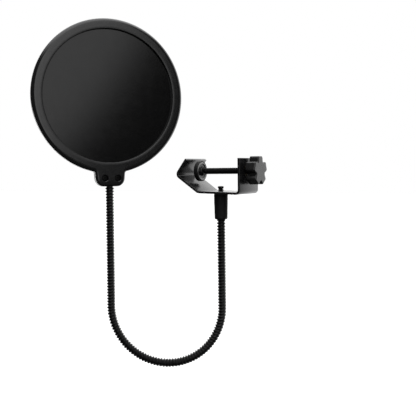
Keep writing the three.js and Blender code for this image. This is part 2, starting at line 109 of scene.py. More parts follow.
ARM = {
    "crest": 4.3,
    "root": 3.0,
    "ridge_pitch": 3.0,
    "starts": 2,
    "bend_height": -134.2,
    "clamp_end": -35.1,
    "screen_end": -9.9,
    "first_joint": 32,
    "last_joint": 370,
    "sides": 36,
    "step": 0.3,
    "seam_inset": 2,  # in millimetres from a stretch's ends
    "ferrule_depth": 14,  # the arm stays straight this far from its clamp end
    "room": 4.45,  # radius of the holes that the arm goes into
}
ANCHOR = {"room": 3.1, "top": 1.5, "shoulder": -9.6}

STRAP = {
    "thickness": 2.2,
    "half_width": 20,
    "path": ((0.8, 12.4), (-11.2, -3.7), (14.4, -21.5), (60.5, -22.8), (60.5, 12.1)),
    "bends": (4.8, 4.5, 4.5),
    "edge": 0.3,
    "bush_hole": 4.5,
    "pivot_hole": 2.15,
}
THREAD = {
    "major": 3.05,
    "minor": 2.5,
    "pitch": 1.0,
    "start": 12.3,
    "end": 70.7,
    "neck": 1.7,
    "crest_share": 0.2,  # of half a pitch
    "flank_share": 0.65,
}
BALL = {"front": 8.5, "radius": 2.4, "length": 1.7}
BUSH = {"bore": 3.12, "body": 4.2, "flange": 6.2, "from": 56.5, "shoulder": 58.0, "to": 61.1}
PAD = {"face": 3.9, "radius": 10, "back": 8.8, "floor": 6.9, "lip": 9.1}
CUP = {"base": 7.2, "rim": 9.0, "height": 2.0, "floor": 1.0, "hub": 4.6, "bore": 2.8, "top": 10.5}
CUP["bare"] = (1.7, 1.3)  # painted shade fills the cup inside these distances from the rim's edge, and the rim's bare metal fades in between them
RETAINER = {"from": 10.8, "to": 11.4, "bore": 2.05, "radius": 4.2}
KNOB = {
    "back": 63.5,
    "front": 73.3,
    "lobes": 5,
    "lobe": 13.8,  # from the axis to the middle of a lobe's flat top
    "valley": 9.9,
    "lobe_end": 13,  # degrees from a lobe's middle to where its flat top falls away
    "valley_start": 33,
    "edge": 1.2,
}
INSERT = {"flats": 9, "end": 70.9, "bore": 3.12}
PIVOT = {"head": 2.9, "top": -14.9, "shank": 1.8, "tip": -32.5, "slot": 0.8}
FLAT_WASHER = {"radius": 3.0, "thickness": 0.8}
SPRING_WASHER = {"radius": 2.45, "thickness": 0.9, "twist": 0.1}
FRICTION_WASHER = {"radius": 6.8, "thickness": 0.6, "gap_under": 0.03, "gap_over": 0.15}
FLOOR = {"half_side": 12, "drop": 0.25}  # in metres
FERRULE = {"bottom": -47.5, "top_radius": 6.9, "bottom_radius": 6.35, "plug_room": 5.5}

ROUND = 96  # sides of small turned pieces
RING_SIDES = 360

# ------------------------------------------------------------------ places, from the frame


def middle(*nodes):
    """The middle of several CAD nodes together, in millimetres."""
    lows, highs = zip(*(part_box(node) for node in nodes))
    low = Vector(min(corner[i] for corner in lows) for i in range(3))
    high = Vector(max(corner[i] for corner in highs) for i in range(3))
    return (low + high) / 2 / MM


def joint_place(name):
    """Where a joint's axis passes, in millimetres."""
    found = next(joint for joint in frame["joints"] if joint["name"] == name)
    return Vector(found["pos_m"]) / MM


SWIVEL_AT = joint_place("arm_swivel")
SWIVEL_AT.z = 0
LAST_BEND_AT = joint_place("neck_bend_9")
ARM_SPAN = (LAST_BEND_AT.xy - SWIVEL_AT.xy).length
ARM_TURN = math.atan2(SWIVEL_AT.y - LAST_BEND_AT.y, SWIVEL_AT.x - LAST_BEND_AT.x)
SCREEN_AT = middle("front_mesh", "rear_mesh")

# The base runs slightly downhill towards the knob, so its height is taken at the pivot.
(BASE_X, BASE_Z), (UPRIGHT_X, UPRIGHT_Z) = STRAP["path"][2:4]
BASE_UNDER = BASE_Z + (UPRIGHT_Z - BASE_Z) * (SWIVEL_AT.x - BASE_X) / (UPRIGHT_X - BASE_X)
FLAT_WASHER_UNDER = BASE_UNDER + STRAP["thickness"] + GAP
SPRING_WASHER_UNDER = FLAT_WASHER_UNDER + FLAT_WASHER["thickness"] + GAP
HEAD_UNDER = SPRING_WASHER_UNDER + SPRING_WASHER["thickness"] + GAP
FRICTION_WASHER_UNDER = BASE_UNDER - GAP - FRICTION_WASHER["thickness"]
FERRULE_TOP = FRICTION_WASHER_UNDER - GAP

IN_CLAMP = Matrix.Identity(4)
IN_SWIVEL = Matrix.Translation(SWIVEL_AT)
IN_ARM = IN_SWIVEL @ Matrix.Rotation(ARM_TURN, 4, "Z")
# Screen frame: X across, Y out of the front face, Z down the tab.
IN_SCREEN = (
    Matrix.Translation(SCREEN_AT)
    @ Matrix.Rotation(math.radians(RING["turn"]), 4, "Z")
    @ Matrix.Rotation(math.pi / 2, 4, "X")
)
REAR_SIDE = IN_SCREEN @ Matrix.Diagonal((1, 1, -1, 1))
# A turned piece is drawn along Z. This lays it along the clamp screw, with X as its height.
ALONG_SCREW = Matrix(((0, 0, 1, 0), (1, 0, 0, 0), (0, 1, 0, 0), (0, 0, 0, 1)))

# ------------------------------------------------------------------ mesh helpers


def add_mesh(name, points, faces, place, sharp_angle=38):
    """A smooth-shaded mesh object. Points are in millimetres in the frame that place gives."""
    mirrored = place.to_3x3().determinant() < 0
    mesh = bpy.data.meshes.new(name)
    placed = [(place @ Vector(point)) * MM for point in points]
    mesh.from_pydata(placed, [], [tuple(reversed(face)) if mirrored else face for face in faces])
    mesh.validate()
    mesh.shade_smooth()
    mesh.set_sharp_from_angle(angle=math.radians(sharp_angle))
    piece = bpy.data.objects.new(name, mesh)
    bpy.context.scene.collection.objects.link(piece)
    return piece


def loft(loops, closed=False, capped=False):
    """Points and faces of the surface through loops with equal counts of points.
    closed joins the last loop to the first, and capped closes each end with one face."""
    count = len(loops[0])
    points = [point for loop in loops for point in loop]
    faces = []
    pairs = len(loops) if closed else len(loops) - 1
    for i in range(pairs):
        low = i * count
        high = (i + 1) % len(loops) * count
        for j in range(count):
            k = (j + 1) % count
            faces.append((low + j, low + k, high + k, high + j))
    if capped:
        last = (len(loops) - 1) * count
        faces.append(tuple(reversed(range(count))))
        faces.append(tuple(range(last, last + count)))
    return points, faces


def rectangle(half_x, half_y, z):
    """Four corners about the Z axis, anticlockwise."""
    return [(-half_x, -half_y, z), (half_x, -half_y, z), (half_x, half_y, z), (-half_x, half_y, z)]


def rounded(corners, steps=5, closed=False):
    """A line of [x, y, radius] corners with each corner turned into an arc of its radius."""
    count = len(corners)
    result = []
    for i, (x, y, radius) in enumerate(corners):
        here = Vector((x, y))
        if radius == 0 or (not closed and i in (0, count - 1)):
            result.append((x, y))
            continue
        before = Vector(corners[i - 1][:2]) - here
        after = Vector(corners[(i + 1) % count][:2]) - here
        half = before.angle(after) / 2
        back = radius / math.tan(half)
        start = here + before.normalized() * back
        end = here + after.normalized() * back
        between = (before.normalized() + after.normalized()).normalized()
        centre = here + between * radius / math.sin(half)
        first = math.atan2(start.y - centre.y, start.x - centre.x)
        sweep = math.atan2(end.y - centre.y, end.x - centre.x) - first
        sweep = (sweep + math.pi) % TAU - math.pi
        for k in range(steps + 1):
            angle = first + sweep * k / steps
            result.append((centre.x + radius * math.cos(angle), centre.y + radius * math.sin(angle)))
    return result


def turned(profile, sides=ROUND, closed=True):
    """A surface of revolution about Z through (radius, height) points, listed anticlockwise.
    A profile that starts and ends on the axis is closed there by small caps."""
    on_axis = profile[0][0] == 0
    line = profile[1:-1] if on_axis else profile
    loops = []
    for radius, height in line:
        angles = (TAU * i / sides for i in range(sides))
        loops.append([(radius * math.cos(a), radius * math.sin(a), height) for a in angles])
    return loft(loops, closed=closed and not on_axis, capped=on_axis)


def normals_of(outline):
    """Outward normals of a closed anticlockwise outline, one for each point."""
    points = np.array(outline)
    ahead = np.roll(points, -1, axis=0) - points
    behind = points - np.roll(points, 1, axis=0)
    ahead /= np.linalg.norm(ahead, axis=1)[:, None]
    behind /= np.linalg.norm(behind, axis=1)[:, None]
    along = ahead + behind
    along /= np.linalg.norm(along, axis=1)[:, None]
    return np.stack([along[:, 1], -along[:, 0]], axis=1)


def cut(piece, *cutters):
    """Takes the cutters out of a piece and removes them."""
    for cutter in cutters:
        modifier = piece.modifiers.new("cut", "BOOLEAN")
        modifier.operation = "DIFFERENCE"
        modifier.solver = "EXACT"
        modifier.object = cutter
    graph = bpy.context.evaluated_depsgraph_get()
    result = bpy.data.meshes.new_from_object(piece.evaluated_get(graph))
    piece.modifiers.clear()
    piece.data = result
    for cutter in cutters:
        bpy.data.objects.remove(cutter)
    result.shade_smooth()
    result.set_sharp_from_angle(angle=math.radians(38))
    return piece


def finish_piece(piece, body, material, nodes):
    """Gives a piece its material and slot, rides it on a body and stands it for CAD nodes."""
    piece.data.materials.clear()
    piece.data.materials.append(material)
    if body:
        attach(piece, body)
    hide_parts(*nodes)
    return piece


# ------------------------------------------------------------------ materials


class Surface:
    """A procedural material: colour, roughness and relief are worked out from places in metres."""

    def __init__(self, name, colour, roughness, **sockets):
        self.material = bpy.data.materials.new(name)
        self.material.use_nodes = True
        self.tree = self.material.node_tree
        self.shader = self.tree.nodes["Principled BSDF"]
        self.place = self.add("ShaderNodeTexCoord").outputs["Object"]
        self.colour = colour
        self.roughness = roughness
        for socket, value in sockets.items():
            self.shader.inputs[socket.replace("_", " ")].default_value = value

    def add(self, kind, **settings):
        node = self.tree.nodes.new(kind)
        for key, value in settings.items():
            setattr(node, key, value)
        return node

    def link(self, source, target):
        self.tree.links.new(source, target)

    def noise(self, size_mm, detail=3.0):
        """Noise whose blobs are about size_mm across."""
        node = self.add("ShaderNodeTexNoise")
        node.inputs["Scale"].default_value = 1 / (size_mm * MM)
        node.inputs["Detail"].default_value = detail
        self.link(self.place, node.inputs["Vector"])
        return node.outputs["Fac"]

    def spread(self, source, low, high):
        """Maps noise, which stays near its middle, to run from low to high."""
        node = self.add("ShaderNodeMapRange")
        node.inputs["From Min"].default_value = 0.3
        node.inputs["From Max"].default_value = 0.7
        node.inputs["To Min"].default_value = low
        node.inputs["To Max"].default_value = high
        self.link(source, node.inputs["Value"])
        return node.outputs["Result"]

    def blend_colours(self, share, first, second):
        node = self.add("ShaderNodeMix", data_type="RGBA")
        self.link(share, node.inputs["Factor"])
        node.inputs[6].default_value = (*first, 1)
        node.inputs[7].default_value = (*second, 1)
        return node.outputs[2]

    def mottle(self, size_mm, amount):
        """Colour and roughness that wander by a share of their value."""
        share = self.spread(self.noise(size_mm), 0, 1)
        dark = [c * (1 - amount) for c in self.colour]
        light = [c * (1 + amount) for c in self.colour]
        self.link(self.blend_colours(share, dark, light), self.shader.inputs["Base Color"])
        rough = self.spread(
            self.noise(size_mm * 0.6), self.roughness * (1 - amount), self.roughness * (1 + amount)
        )
        self.link(rough, self.shader.inputs["Roughness"])
        return self

    def grain(self, size_mm, depth_mm, strength=1.0):
        """Fine relief, such as a moulded texture or the orange peel of paint."""
        return self.relief(self.noise(size_mm), depth_mm, strength)

    def relief(self, height, depth_mm, strength=1.0):
        bump = self.add("ShaderNodeBump")
        bump.inputs["Distance"].default_value = depth_mm * MM
        bump.inputs["Strength"].default_value = strength
        self.link(height, bump.inputs["Height"])
        self.link(bump.outputs["Normal"], self.shader.inputs["Normal"])
        return self


def ring_plastic():
    surface = Surface("ring_plastic", (0.009, 0.009, 0.0094), 0.16, Specular_IOR_Level=0.5)
    surface.mottle(9, 0.12)
    surface.grain(0.4, 0.006, 0.4)
    return surface.material


def nylon_mesh():
    """Plain weave: fine threads across each other in the screen's plane."""
    surface = Surface("nylon_mesh", (0.003, 0.003, 0.0031), 0.11, Specular_IOR_Level=0.36)
    surface.mottle(14, 0.12)
    turn = surface.add("ShaderNodeMapping")
    turn.inputs["Rotation"].default_value = (0, 0, -math.radians(RING["turn"]))
    surface.link(surface.place, turn.inputs["Vector"])
    split = surface.add("ShaderNodeSeparateXYZ")
    surface.link(turn.outputs["Vector"], split.inputs["Vector"])

    def thread(source):
        """A rounded ridge along each thread of one direction."""
        scaled = surface.add("ShaderNodeMath", operation="MULTIPLY")
        scaled.inputs[1].default_value = math.pi / (SHEET["thread_pitch"] * MM)
        surface.link(source, scaled.inputs[0])
        wave = surface.add("ShaderNodeMath", operation="SINE")
        surface.link(scaled.outputs[0], wave.inputs[0])
        return wave.outputs[0]

    across = thread(split.outputs["X"])
    along = thread(split.outputs["Z"])
    woven = surface.add("ShaderNodeMath", operation="MULTIPLY")
    surface.link(across, woven.inputs[0])
    surface.link(along, woven.inputs[1])
    surface.relief(woven.outputs[0], 0.006, 0.3)
    return surface.material


def gooseneck_wire():
    surface = Surface("gooseneck_wire", (0.003, 0.003, 0.0031), 0.34, Specular_IOR_Level=0.3)
    surface.mottle(2.4, 0.22)
    surface.grain(0.35, 0.008, 0.4)
    return surface.material


def bracket_paint():
    surface = Surface("bracket_paint", (0.008, 0.008, 0.0083), 0.24, Specular_IOR_Level=0.4)
    surface.mottle(5, 0.08)
    surface.grain(1.1, 0.004, 0.3)
    return surface.material


def black_screw():
    surface = Surface("black_screw", (0.0025, 0.0025, 0.0026), 0.5, Specular_IOR_Level=0.12)
    surface.mottle(1.2, 0.25)
    surface.grain(0.2, 0.006, 0.5)
    return surface.material


def knob_plastic():
    surface = Surface("knob_plastic", (0.011, 0.011, 0.0112), 0.26, Specular_IOR_Level=0.42)
    surface.mottle(4, 0.12)
    surface.grain(0.3, 0.008, 0.5)
    return surface.material


def pad_rubber():
    surface = Surface("pad_rubber", (0.005, 0.005, 0.0051), 0.6, Specular_IOR_Level=0.25)
    surface.mottle(2, 0.2)
    surface.grain(0.25, 0.03, 0.8)
    return surface.material


def pad_steel():
    """Black inside the cup as painted shade in its recess, with bright bare metal along its rolled rim."""
    surface = Surface("pad_steel", (0.19, 0.19, 0.188), 0.3)
    surface.mottle(1.6, 0.25)
    surface.grain(0.15, 0.006, 0.6)
    split = surface.add("ShaderNodeSeparateXYZ")
    surface.link(surface.place, split.inputs["Vector"])
    flat = surface.add("ShaderNodeCombineXYZ")
    surface.link(split.outputs["Y"], flat.inputs["Y"])
    surface.link(split.outputs["Z"], flat.inputs["Z"])
    reach = surface.add("ShaderNodeVectorMath", operation="LENGTH")
    surface.link(flat.outputs["Vector"], reach.inputs[0])
    bare = surface.add("ShaderNodeMapRange")
    start, end = CUP["bare"]
    bare.inputs["From Min"].default_value = (CUP["rim"] - start) * MM
    bare.inputs["From Max"].default_value = (CUP["rim"] - end) * MM
    surface.link(reach.outputs["Value"], bare.inputs["Value"])
    # Painted shade: the cup's recess is coloured near black, and only the rim keeps the steel's colour and metal.
    steel_colour = surface.shader.inputs["Base Color"].links[0].from_socket
    painted_shade = surface.add("ShaderNodeMix", data_type="RGBA")
    painted_shade.inputs[6].default_value = (0.004, 0.004, 0.004, 1)
    surface.link(bare.outputs["Result"], painted_shade.inputs["Factor"])
    surface.link(steel_colour, painted_shade.inputs[7])
    surface.link(painted_shade.outputs[2], surface.shader.inputs["Base Color"])
    surface.link(bare.outputs["Result"], surface.shader.inputs["Metallic"])
    return surface.material


def plated_steel():
    surface = Surface("plated_steel", (0.42, 0.42, 0.43), 0.3, Metallic=1.0)
    surface.mottle(1.5, 0.12)
    surface.grain(0.15, 0.008, 0.5)
    return surface.material


def brass_insert():
    surface = Surface("brass_insert", (0.55, 0.4, 0.17), 0.32, Metallic=1.0)
    surface.mottle(1.5, 0.15)
    surface.grain(0.18, 0.008, 0.5)
    return surface.material


def fibre_washer():
    surface = Surface("fibre_washer", (0.012, 0.012, 0.012), 0.6)
    surface.mottle(1.2, 0.2)
    surface.grain(0.3, 0.03, 0.8)
    return surface.material


def ferrule_plastic():
    surface = Surface("ferrule_plastic", (0.009, 0.009, 0.0093), 0.65, Specular_IOR_Level=0.2)
    surface.mottle(3, 0.15)
    surface.grain(0.3, 0.015, 0.5)
    return surface.material


def spacer_plastic():
    surface = Surface("spacer_plastic", (0.012, 0.012, 0.0125), 0.5)
    surface.mottle(4, 0.15)
    surface.grain(0.3, 0.02, 0.5)
    return surface.material


FINISH = {
    "ring_plastic": ring_plastic(),
    "nylon_mesh": nylon_mesh(),
    "gooseneck_wire": gooseneck_wire(),
    "bracket_paint": bracket_paint(),
    "black_screw": black_screw(),
    "knob_plastic": knob_plastic(),
    "pad_rubber": pad_rubber(),
    "pad_steel": pad_steel(),
    "plated_steel": plated_steel(),
    "brass_insert": brass_insert(),
    "fibre_washer": fibre_washer(),
    "ferrule_plastic": ferrule_plastic(),
    "spacer_plastic": spacer_plastic(),
}


def dress_cad_nodes():
    """Every CAD node gets its slot's material, and those that stay shown keep it."""
    for row in frame["record"]["subparts"]:
        node = frame["nodes"][row["node"]]
        node.data.materials.clear()
        node.data.materials.append(FINISH[row["material_slot"]])


# ------------------------------------------------------------------ round screen


def screen_outline():
    """The ring and its tab as one outline, anticlockwise, with Y towards the ring's top."""
    half, bottom, reach = TAB["half_width"], TAB["half_bottom"], TAB["reach"]
    radius = RING["outer"]
    meet = math.asin(half / radius)
    free = meet + math.radians(TAB["flare_turn"])
    arc = []
    for i in range(RING_SIDES + 1):
        angle = -math.pi / 2 + free + (TAU - 2 * free) * i / RING_SIDES
        arc.append((radius * math.cos(angle), radius * math.sin(angle), 0))
    height = -radius * math.cos(meet)
    tab = [
        (-half, height, TAB["flare"]),
        (-bottom, -reach, TAB["corner"]),
        (bottom, -reach, TAB["corner"]),
        (half, height, TAB["flare"]),
    ]
    return rounded(arc + tab, steps=8, closed=True)


def tab_share(y):
    """0 on the ring and 1 on the tab, smooth between them."""
    start, end = TAB["blend"]
    share = min(1, max(0, (-y - start) / (end - start)))
    return share * share * (3 - 2 * share)


def shell_section():
    """The shell's outer skin as (inset, height) steps from the joint plane to the face's edge."""
    bevel, half, seam, edge = RING["bevel"], RING["half"], RING["seam"], RING["seam_edge"]
    steps = [(edge, seam), (0, seam + edge)]
    for i in range(11):
        angle = math.pi / 2 * i / 10
        across = math.cos(angle) ** RING["bevel_power"]
        up = math.sin(angle) ** RING["bevel_power"]
        steps.append((bevel * (1 - across), half - bevel * (1 - up)))
    return steps


def ring_shell(name, place):
    """One of the two shells: outer wall, bevel, flat face, opening, underside and inner wall."""
    outline = np.array(screen_outline())
    outward = normals_of(outline)
    shares = np.array([tab_share(y) for y in outline[:, 1]])
    narrower = 1 - (1 - TAB["bevel_share"]) * shares
    bearing = np.arctan2(outline[:, 1], outline[:, 0])
    spokes = np.stack([np.cos(bearing), np.sin(bearing)], axis=1)

    def around(radius, height):
        return [(*(spoke * radius), height) for spoke in spokes]

    loops = []
    for inset, height in shell_section():
        drop = (RING["half"] - height) * narrower
        low = np.where(height < RING["half"] - RING["bevel"] + 1e-6, height, RING["half"] - drop)
        moved = outline - outward * (inset * narrower)[:, None]
        loops.append([(x, y, z) for (x, y), z in zip(moved, low)])
    lip, face, under = RING["lip"], RING["half"], RING["half"] - RING["plate"]
    edge = np.array(loops[-1])[:, :2]
    land = RING["open"] + RING["land"]
    inner = spokes * land
    for share in (0.35, 0.7):
        loops.append([(*(a + (b - a) * share), face) for a, b in zip(edge, inner)])
    loops.append(around(land, face))
    for i in range(7):
        angle = math.pi / 2 * i / 6
        radius = RING["open"] + lip * (1 - math.sin(angle))
        loops.append(around(radius, face - lip * (1 - math.cos(angle))))
    loops.append(around(RING["open"], under))
    wall = RING["outer"] - RING["wall"]
    loops.append(around(wall, under))
    loops.append(around(wall, RING["seam"]))
    points, faces = loft(loops, closed=True)
    shell = add_mesh(name, points, faces, place, sharp_angle=30)
    return cut(shell, *shell_cutters(place))


def shell_cutters(place):
    """The screws' holes and recesses and the room for the arm's end and its plug."""
    cutters = []
    for x in TAB["screws"]:
        corners = [
            (0, -1, 0),
            (TAB_SCREW["shank"] + 0.25, -1, 0),
            (TAB_SCREW["shank"] + 0.25, TAB_SCREW["under"] - GAP, 0),
            (TAB_SCREW["recess"], TAB_SCREW["under"] - GAP, 0.3),
            (TAB_SCREW["recess"], RING["half"] - 0.45, 0.3),
            (TAB_SCREW["recess"] + 1, RING["half"] + 0.55, 0),
            (0, RING["half"] + 0.55, 0),
        ]
        at = place @ Matrix.Translation((x, -TAB["screw_reach"], 0))
        cutters.append(add_mesh("screw_hole", *turned(rounded(corners), 48), at))
    down = Matrix.Rotation(math.pi / 2, 4, "X")
    bottom = TAB["reach"] + 5
    plug_top, shoulder = (SCREEN_AT.z - ANCHOR[key] for key in ("top", "shoulder"))
    wide = ARM["room"] + 1.05
    room = [
        (0, plug_top, 0),
        (ANCHOR["room"], plug_top, 0),
        (ANCHOR["room"], shoulder, 0),
        (ARM["room"], shoulder, 0),
        (ARM["room"], TAB["reach"] - 0.5, 0.3),
        (wide, TAB["reach"] + 0.55, 0),
        (wide, bottom, 0),
        (0, bottom, 0),
    ]
    cutters.append(add_mesh("arm_room", *turned(rounded(room), 48), place @ down))
    return cutters


def sheet_disc(name, place):
    """A taut disc of cloth, thin and closed, with its edge under the ring."""
    radius, top, under = SHEET["radius"], SHEET["top"], SHEET["under"]
    rings = [radius * share for share in (0.02, 0.25, 0.5, 0.7, 0.85, 0.93, 0.98)]
    profile = [(0, under)]
    profile += [(r, under) for r in rings]
    profile += [(radius, under + 0.1), (radius, top - 0.1)]
    profile += [(r, top) for r in reversed(rings)]
    profile += [(0, top)]
    return add_mesh(name, *turned(profile, RING_SIDES), place)


def tab_screw(name, x, place):
    """A pan-head screw with a cross recess."""
    head, top, shank = TAB_SCREW["head"], TAB_SCREW["top"], TAB_SCREW["shank"]
    corners = [
        (0, TAB_SCREW["tip"], 0),
        (0.3, TAB_SCREW["tip"], 0),
        (shank, TAB_SCREW["tip"] + 0.9, 0.3),
        (shank, TAB_SCREW["under"], 0),
        (head, TAB_SCREW["under"], 0.2),
        (head, top - 0.35, 0.5),
        (head * 0.6, top, 1.5),
        (0, top, 0),
    ]
    at = place @ Matrix.Translation((x, -TAB["screw_reach"], 0))
    screw = add_mesh(name, *turned(rounded(corners, 6), 48), at)
    arms = []
    for quarter in range(2):
        spin = Matrix.Rotation(math.pi / 4 + quarter * math.pi / 2, 4, "Z")
        bar = [rectangle(0.7, 0.22, top - 1.0), rectangle(1.75, 0.32, top + 0.5)]
        arms.append(add_mesh("cross_arm", *loft(bar, capped=True), at @ spin))
    return cut(screw, *arms)


def build_screen():
    for side, place in (("front", IN_SCREEN), ("rear", REAR_SIDE)):
        shell = ring_shell(f"{side}_shell", place)
        finish_piece(shell, "screen", FINISH["ring_plastic"], [f"{side}_ring"])
        cloth = sheet_disc(f"{side}_cloth", place)
        finish_piece(cloth, "screen", FINISH["nylon_mesh"], [f"{side}_mesh"])
    for i, x in enumerate(TAB["screws"], 1):
        screw = tab_screw(f"tab_screw_head_{i}", x, IN_SCREEN)
        finish_piece(screw, "screen", FINISH["black_screw"], [f"tab_screw_{i}"])


# ------------------------------------------------------------------ gooseneck

BEND_RADIUS = ARM_SPAN / 2
CLAMP_LEG = ARM["clamp_end"] - ARM["bend_height"]
BEND_LENGTH = math.pi * BEND_RADIUS
ARM_LENGTH = CLAMP_LEG + BEND_LENGTH + ARM["screen_end"] - ARM["bend_height"]


def arm_point(s):
    """The arm's centre line, its direction and the normal in its plane, at length s."""
    if s < CLAMP_LEG:
        angle, x, z = 0, 0, ARM["clamp_end"] - s
    elif s > CLAMP_LEG + BEND_LENGTH:
        angle, x, z = math.pi, -ARM_SPAN, ARM["bend_height"] + s - CLAMP_LEG - BEND_LENGTH
    else:
        angle = (s - CLAMP_LEG) / BEND_RADIUS
        x = -BEND_RADIUS + BEND_RADIUS * math.cos(angle)
        z = ARM["bend_height"] - BEND_RADIUS * math.sin(angle)
    along = Vector((-math.sin(angle), 0, -math.cos(angle)))
    normal = Vector((math.cos(angle), 0, -math.sin(angle)))
    return Vector((x, 0, z)), along, normal


def ridge(phase):
    """Height of the wound wire's ridge, from 0 in the groove to 1 on its crest."""
    return 0.5 - 0.5 * math.cos(TAU * phase)


def arm_stretch(name, start, end):
    """A stretch of wound wire: ridges that climb like a right-handed two-start screw."""
    count = max(2, round((end - start) / ARM["step"]))
    loops = []
    for i in range(count + 1):
        s = start + (end - start) * i / count
        centre, along, normal = arm_point(s)
        side = along.cross(normal)
        loop = []
        for j in range(ARM["sides"]):
            angle = TAU * j / ARM["sides"]
            lift = ridge(s / ARM["ridge_pitch"] - ARM["starts"] * angle / TAU)
            radius = ARM["root"] + (ARM["crest"] - ARM["root"]) * lift
            loop.append(centre + (normal * math.cos(angle) + side * math.sin(angle)) * radius)
        loops.append(loop)
    return add_mesh(name, *loft(loops, capped=True), IN_ARM, sharp_angle=75)


def build_gooseneck():
    """Each stretch runs from the middle of one body to the middle of the next, across a joint."""
    bodies = ["ferrule", *(f"neck_{i}" for i in range(2, 10)), "screen"]
    joints = len(bodies) - 1
    spacing = (ARM["last_joint"] - ARM["first_joint"]) / (joints - 1)
    for i in range(joints):
        joint = ARM["first_joint"] + i * spacing
        start = 0 if i == 0 else joint - spacing / 2
        end = ARM_LENGTH if i == joints - 1 else joint + spacing / 2
        piece = arm_stretch(f"wound_arm_{i + 1}", start, end)
        nodes = [f"gooseneck_{i + 1}"]
        if i == joints - 1:
            nodes.append(f"gooseneck_{i + 2}")
        finish_piece(piece, None, FINISH["gooseneck_wire"], nodes)
        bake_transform(piece)


# ------------------------------------------------------------------ clamp


def strap_runs(inset):
    """The two sides of the bent strap's section, drawn in by inset, as matching points."""
    path = [Vector(corner) for corner in STRAP["path"]]
    legs = [(b - a).normalized() for a, b in zip(path, path[1:])]
    path[0] += legs[0] * inset
    path[-1] -= legs[-1] * inset
    runs = []
    for offset in (inset, STRAP["thickness"] - inset):
        run = [path[0] + Vector((-legs[0].y, legs[0].x)) * offset]
        for corner, before, after, bend in zip(path[1:], legs, legs[1:], STRAP["bends"]):
            turn = before.cross(after)
            left = math.copysign(1, turn)
            half = before.angle(after) / 2
            start = corner - before * bend * math.tan(half)
            centre = start + Vector((-before.y, before.x)) * left * bend
            radius = bend - left * offset
            spoke = Vector((before.y, -before.x)) * left * radius
            for k in range(13):
                spin = Matrix.Rotation(left * 2 * half * k / 12, 2)
                run.append(centre + spin @ spoke)
        run.append(path[-1] + Vector((-legs[-1].y, legs[-1].x)) * offset)
        runs.append(run)
    return runs


def build_bracket():
    """The bent strap, with eased edges, and its two holes."""
    edge, half = STRAP["edge"], STRAP["half_width"]
    quarter = np.linspace(0, math.pi / 2, 4)
    steps = [(edge * (1 - math.sin(a)), edge * (1 - math.cos(a))) for a in quarter]
    levels = [(inset, -half + rise) for inset, rise in steps]
    levels += [(inset, half - rise) for inset, rise in reversed(steps)]
    loops = []
    for inset, y in levels:
        lower, upper = strap_runs(inset)
        loops.append([(p.x, y, p.y) for p in [*lower, *reversed(upper)]])
    points, faces = loft(loops)
    count = len(loops[0])
    last = (len(loops) - 1) * count
    for k in range(count // 2 - 1):
        far = count - 1 - k
        faces.append((k, far, far - 1, k + 1)[::-1])
        faces.append((last + k, last + far, last + far - 1, last + k + 1))
    faces = [face[::-1] for face in faces]
    strap = add_mesh("bent_strap", points, faces, IN_CLAMP, sharp_angle=25)
    cutters = []
    for name, radius, height, place in (
        ("bush_hole", STRAP["bush_hole"], UPRIGHT_X, ALONG_SCREW),
        ("pivot_hole", STRAP["pivot_hole"], BASE_UNDER, IN_SWIVEL),
    ):
        low, high = height - 8, height + 8
        hole = [(0, low), (radius, low), (radius, high), (0, high)]
        cutters.append(add_mesh(name, *turned(hole, 64), place))
    cut(strap, *cutters)
    finish_piece(strap, "clamp", FINISH["bracket_paint"], ["clamp_bracket"])


def build_bush():
    corners = [
        (BUSH["bore"], BUSH["from"], 0.25),
        (BUSH["flange"], BUSH["from"], 0.4),
        (BUSH["flange"], BUSH["shoulder"], 0.1),
        (BUSH["body"], BUSH["shoulder"], 0),
        (BUSH["body"], BUSH["to"], 0.3),
        (BUSH["bore"], BUSH["to"], 0.25),
    ]
    bush = add_mesh("screw_bush", *turned(rounded(corners, closed=True)), ALONG_SCREW)
    finish_piece(bush, "clamp", FINISH["plated_steel"], ["thread_bush"])


def thread_radius(phase):
    """Radius of a metric thread: flat crest, sloping flanks, flat root."""
    t = abs((phase % 1) - 0.5) * 2
    share = min(1, max(0, (t - THREAD["crest_share"]) / THREAD["flank_share"]))
    return THREAD["major"] + (THREAD["minor"] - THREAD["major"]) * share


def build_screw():
    """The clamp screw: a ball end in the pad, a neck, then a right-handed thread to the knob."""
    sides = 40
    front, radius, length = BALL["front"], BALL["radius"], BALL["length"]
    profile = [
        (radius - 0.8, front, 0),
        (radius, front + 0.8, 0.5),
        (radius, front + length - 0.4, 0.3),
        (THREAD["neck"], front + length, 0),
        (THREAD["neck"], THREAD["start"], 0),
    ]
    loops = []
    angles = [TAU * j / sides for j in range(sides)]
    for r, x in rounded(profile):
        loops.append([(x, r * math.cos(a), r * math.sin(a)) for a in angles])
    per_turn = 10
    count = round((THREAD["end"] - THREAD["start"]) / THREAD["pitch"] * per_turn)
    for i in range(count + 1):
        x = THREAD["start"] + 0.05 + i * THREAD["pitch"] / per_turn
        lead_in = THREAD["neck"] + 0.4 + (x - THREAD["start"])
        loop = []
        for angle in angles:
            r = min(thread_radius(x / THREAD["pitch"] - angle / TAU), lead_in)
            loop.append((x, r * math.cos(angle), r * math.sin(angle)))
        loops.append(loop)
    screw = add_mesh("threaded_screw", *loft(loops, capped=True), IN_CLAMP, sharp_angle=50)
    finish_piece(screw, "screw", FINISH["black_screw"], ["clamp_screw"])


